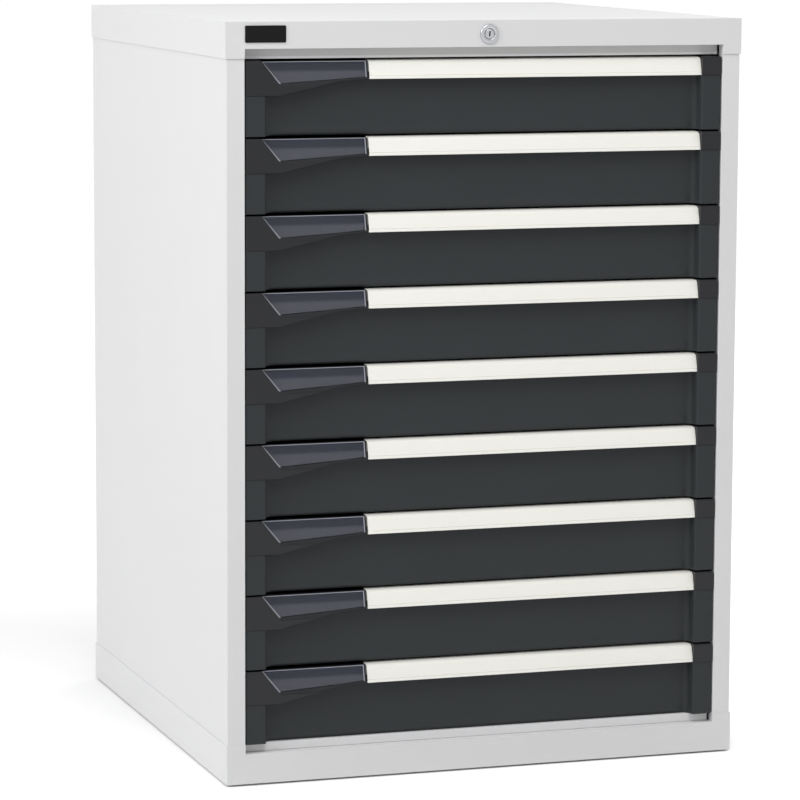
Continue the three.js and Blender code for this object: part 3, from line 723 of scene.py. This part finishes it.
def raked(outline, z, deep):
    """An outline in (x, z) laid on the raked face, at a depth behind the window's front."""
    foot = window_low.z + z - drawer_tops[1]
    y = window_low.y + deep + (outline[:, 1] - foot) * np.tan(face_rake)
    return np.stack((outline[:, 0], y, outline[:, 1]), 1)


def label_card(z):
    """A thin card just behind the window."""
    outline = window_outline(z, card_inset)
    rings = np.array([raked(outline, z, window_sheet + deep) for deep in card_depths])
    points, faces = capped(*grid(rings, around=True), len(outline))
    return points, [face[::-1] for face in faces]


def window_highlight_rim(z):
    """The window's polished edge as a band a little proud of the window, in a light colour that is a
    painted highlight. It runs up the slanted end, along the top and down the right end. Its inner side is
    the outer one moved in by each edge's own width."""
    top_left, heel, _, tip, top_right = window_outline(z, 0)
    lean = (heel[0] - top_left[0]) / (top_left[1] - heel[1])
    outer = np.array([heel, top_left, top_right, tip])
    inner = outer + np.array([(slant_band, 0), (slant_band + lean * top_band, -top_band),
                              (-end_band, -top_band), (-end_band, 0)])
    rings = [raked(path, z, deep) for path, deep in
             ((outer, rim_proud), (outer, -rim_proud), (inner, -rim_proud), (inner, rim_proud))]
    rows = np.array(rings).transpose(1, 0, 2)
    return capped(*grid(rows, around=True), len(rings))


# The card's two colours are painted reflection and shade, as seen through the window.
card = painted_reflection_card("label card with painted reflection", (24, 29, 44), (78, 79, 86), drawer_tops[1] - drawer_tops[2],
                  window_high.z + card_headroom, window_low.z)
for k in drawers:
    z, body = drawer_tops[k], f"drawer_{k}"
    add_piece(f"{body}_label_card", label_card(z), body, card, smooth=False)
    add_piece(f"{body}_window_highlight_rim", window_highlight_rim(z), body, highlight_edge_paint, smooth=False)
print("cards:", len(drawers))

# %% [markdown]
# The lock's bezel is turned, so it is a profile round an axis. The plug's front is a grid between the
# outline of the keyhole and the round rim, and the keyhole's walls run back to its floor.

# %% Lock
lock_low, lock_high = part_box("lock_barrel")
plug_low, plug_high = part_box("lock_plug")
lock_axis = ((lock_low.x + lock_high.x) / 2, 0, (lock_low.z + lock_high.z) / 2)
bezel_radius = (lock_high.x - lock_low.x) / 2
plug_radius = (plug_high.x - plug_low.x) / 2
bezel_depth = 0.003
bezel_round = bezel_depth * 0.6
lead_in = 0.0012
barrel_radius = 0.0095
keyhole_half = np.array((0.0009, 0.0037))
keyhole_depth = 0.006
keyhole_tilt = np.radians(7)
floor_share, mouth_share = 0.98, 1.06
rim_round = 0.0008
slot_share, slot_start, slot_end = 0.97, 0.0007, keyhole_depth * 0.95
lock_sides, slot_sides, dome_points = 72, 40, 9
tail_radius = plug_radius / 2


def lock_bezel():
    """A rounded flange in front of a barrel, bored for the plug with a small lead-in."""
    front, back, bore = lock_low.y, lock_high.y, plug_radius + clear_gap
    flange = front + bezel_depth - clear_gap
    turn = np.linspace(0, np.pi / 2, dome_points)
    dome = np.stack((bezel_radius - bezel_round + bezel_round * np.sin(turn),
                     front + bezel_round - bezel_round * np.cos(turn)), 1)
    inner = [(bore, back), (bore, front + lead_in), (bore + lead_in / 2, front + lead_in / 4),
             (bore + lead_in, front)]
    outer = [(bezel_radius, flange), (barrel_radius, flange), (barrel_radius, back)]
    return revolve(np.vstack((inner, dome, outer, inner[:1])), lock_axis, "y", lock_sides)


def spokes(sides):
    """Unit rays at even angles all round."""
    angle = np.linspace(0, 2 * np.pi, sides, endpoint=False)
    return np.stack((np.cos(angle), np.sin(angle)), 1)


def keyhole(ray):
    """Each ray, stretched until it meets the keyhole's rectangle, and then tilted with it."""
    hole = ray / np.max(abs(ray) / keyhole_half, axis=1, keepdims=True)
    return hole @ np.array(((np.cos(keyhole_tilt), -np.sin(keyhole_tilt)),
                            (np.sin(keyhole_tilt), np.cos(keyhole_tilt))))


def lock_face():
    """The plug: rings from the keyhole's floor to its mouth, out to the rim and back along the side."""
    ray = spokes(lock_sides)
    hole = keyhole(ray)
    front, rim, quarter = plug_low.y, plug_radius, rim_round / 4
    rows = [(hole * floor_share, front + keyhole_depth), (hole, front + quarter),
            (hole * mouth_share, front), (ray * (rim - rim_round), front),
            (ray * (rim - quarter), front + quarter), (ray * rim, front + rim_round),
            (ray * rim, lock_high.y), (ray * tail_radius, lock_high.y), (ray * tail_radius, plug_high.y)]
    x, z = lock_axis[0], lock_axis[2]
    rings = [np.stack((x + flat[:, 0], np.full(lock_sides, y), z + flat[:, 1]), 1) for flat, y in rows]
    return capped(*grid(np.array(rings), around=True), lock_sides)


def lock_keyway():
    """The slot just inside the keyhole, dark as painted shade in the hole: its outline, a little smaller,
    pushed into the plug.
    """
    outline = keyhole(spokes(slot_sides)) * slot_share + (lock_axis[0], lock_axis[2])
    return prism(outline, "y", (plug_low.y + slot_start, plug_low.y + slot_end))


bezel = add_piece("lock_bezel", lock_bezel(), "casing", chrome)
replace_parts(bezel, "lock_barrel")
face = add_piece("lock_face", lock_face(), "lock_plug", chrome)
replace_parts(face, "lock_plug")
add_piece("lock_keyway", lock_keyway(), "lock_plug", keyway_painted_shade, smooth=False)
print("lock axis height:", round(lock_axis[2], 4))

# %% [markdown]
# The head rail ends in a narrow lip that closes most of the gap above the first drawer. It is a strip
# of the same sheet along the rail's lower edge.

# %% Lip of the head rail
rail_low, rail_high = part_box("head_rail")
lip_depth, lip_lap, lip_proud = 0.0018, 0.0015, 0.00005
lip = slab((rail_low.x, rail_low.y - lip_proud, rail_low.z - lip_depth),
           (rail_high.x, rail_low.y + front_sheet, rail_low.z + lip_lap))
soften(add_piece("head_rail_lip", lip, "casing", grey_paint), fine_edge)
print("left above the first drawer:", round(rail_low.z - lip_depth - drawer_tops[1], 5), "m")

# %% [markdown]
# The badge is a blank plate with rounded corners. On each side wall two spot welds show through the
# paint beside the front fold, as shallow round humps.

# %% Badge and spot welds
badge_low, badge_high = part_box("badge_plate")
badge_radius = 0.0016
weld_radius, weld_height = 0.0034, 0.00035
weld_tip, weld_rings = 0.05, 8
weld_setback = 0.066
weld_heights = (0.08, 0.93)


def badge_face():
    """A rectangle with rounded corners, pushed through the plate's thickness."""
    corners = [(badge_low.x, badge_low.z), (badge_high.x, badge_low.z),
               (badge_high.x, badge_high.z), (badge_low.x, badge_high.z)]
    return prism(rounded(corners, badge_radius, steps=6, closed=True), "y", (badge_low.y, badge_high.y))


def spot_weld(place):
    """A hump on the left wall: its height falls off in half a cosine wave from its tip to its rim."""
    share = np.linspace(1, weld_tip, weld_rings)
    out = weld_height * (1 + np.cos(np.pi * share)) / 2
    profile = np.stack((weld_radius * share, place[0] - out), 1)
    return revolve(np.vstack(((weld_radius, place[0] + weld_height), profile)), place, "x", sides=28)


badge = add_piece("badge_face", badge_face(), "casing", badge_black)
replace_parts(soften(badge, small_edge), "badge_plate")
wall_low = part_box("side_panel_left")[0]
for number, height in enumerate(weld_heights, 1):
    hump = spot_weld((wall_low.x, wall_low.y + weld_setback, height))
    add_piece(f"spot_welds_{number}", together(hump, mirrored(hump)), "casing", grey_paint)
print("spot welds:", 2 * len(weld_heights))

# %% [markdown]
# The photograph has a white background and a soft light. The floor is one wide sheet. A world of even
# white fills the shadows, and large area lights give the sides their different brightness. Each lamp
# has its place, the point it looks at, its size and its power.

# %% Floor, backdrop and lights
floor_half = 60
floor_white, floor_roughness = 0.82, 0.9
floor_glow, floor_reach = (0.18, 0.56), (0.45, 1.25)
floor_gap = 0.0026
shade_reach = 0.12
# The floor's glow is weakest round this point beside the cabinet's left wall: a painted soft shadow.
painted_shadow_centre = (-0.7, 0.45, 0)
world_fill = 0.56
nearly_up = (0, 0.001, 1)
lamps = {
    "key": ((-4.0, -1.0, 2.8), (0, 0, 0.6), 2.2, 84),
    "front": ((-0.7, -2.2, 3.6), (0, 0, 0.5), 2.0, 48),
    "fill": ((3.2, 3.2, 2.4), (0, 0, 0.6), 2.4, 45),
}


def seen_directly(tree):
    """One for camera, glossy and transmission rays, and zero for the rays that light a surface."""
    path = tree.nodes.new("ShaderNodeLightPath")
    seen = path.outputs["Is Camera Ray"]
    for ray in ("Is Glossy Ray", "Is Transmission Ray"):
        either = math_node(tree, "MAXIMUM")
        tree.links.new(seen, either.inputs[0])
        tree.links.new(path.outputs[ray], either.inputs[1])
        seen = either.outputs[0]
    return seen


def stage_floor(half):
    """A level white floor, with a hair of shadow between it and the cabinet's foot. The lamps light it
    near the cabinet, and further out its own glow makes up for them, so that it stays just white. The glow
    is weakest round a point beside the cabinet's left wall, which paints a soft shadow there, and it is
    dimmed by the share of the sky that the cabinet hides, which paints a contact shade."""
    mesh = bpy.data.meshes.new("floor")
    low = -floor_gap
    mesh.from_pydata([(-half, -half, low), (half, -half, low), (half, half, low), (-half, half, low)],
                     [], [[0, 1, 2, 3]])
    floor = new_object("floor", mesh)
    material = bpy.data.materials.new("studio floor")
    material.use_nodes = True
    tree = material.node_tree
    shader = tree.nodes["Principled BSDF"]
    shader.inputs["Base Color"].default_value = (floor_white, floor_white, floor_white, 1)
    shader.inputs["Roughness"].default_value = floor_roughness
    shader.inputs["Specular IOR Level"].default_value = 0
    shader.inputs["Emission Color"].default_value = (1, 1, 1, 1)
    place = tree.nodes.new("ShaderNodeTexCoord")
    reach = tree.nodes.new("ShaderNodeVectorMath")
    reach.operation = "DISTANCE"
    reach.inputs[1].default_value = painted_shadow_centre
    glow = tree.nodes.new("ShaderNodeMapRange")
    glow.inputs["From Min"].default_value, glow.inputs["From Max"].default_value = floor_reach
    glow.inputs["To Min"].default_value, glow.inputs["To Max"].default_value = floor_glow
    shade = tree.nodes.new("ShaderNodeAmbientOcclusion")
    shade.inputs["Distance"].default_value = shade_reach
    dim, lift = math_node(tree, "MULTIPLY"), math_node(tree, "MULTIPLY")
    tree.links.new(place.outputs["Object"], reach.inputs[0])
    tree.links.new(reach.outputs["Value"], glow.inputs["Value"])
    tree.links.new(glow.outputs["Result"], dim.inputs[0])
    tree.links.new(shade.outputs["AO"], dim.inputs[1])
    tree.links.new(dim.outputs[0], lift.inputs[1])
    tree.links.new(seen_directly(tree), lift.inputs[0])
    tree.links.new(lift.outputs[0], shader.inputs["Emission Strength"])
    mesh.materials.append(material)


def stage_world(fill):
    """White where the camera looks past the floor, and a softer even fill for everything else."""
    world = bpy.data.worlds.new("studio")
    bpy.context.scene.world = world
    world.use_nodes = True
    tree = world.node_tree
    background = tree.nodes["Background"]
    background.inputs["Color"].default_value = (1, 1, 1, 1)
    level = tree.nodes.new("ShaderNodeMapRange")
    level.inputs["To Min"].default_value, level.inputs["To Max"].default_value = fill, 1
    tree.links.new(seen_directly(tree), level.inputs["Value"])
    tree.links.new(level.outputs["Result"], background.inputs["Strength"])


def softbox(name, place, target, size, power):
    """A square area light turned towards a point."""
    light = bpy.data.lights.new(name, "AREA")
    light.shape, light.size, light.energy = "SQUARE", size, power
    away = np.subtract(place, target) / np.linalg.norm(np.subtract(place, target))
    side = np.cross(nearly_up, away)
    side /= np.linalg.norm(side)
    set_axes(new_object(name, light), side, np.cross(away, side), away, place)


stage_floor(floor_half)
stage_world(world_fill)
for name, (place, target, size, power) in lamps.items():
    softbox(name, place, target, size, power)
bpy.context.scene.view_settings.view_transform = "Standard"
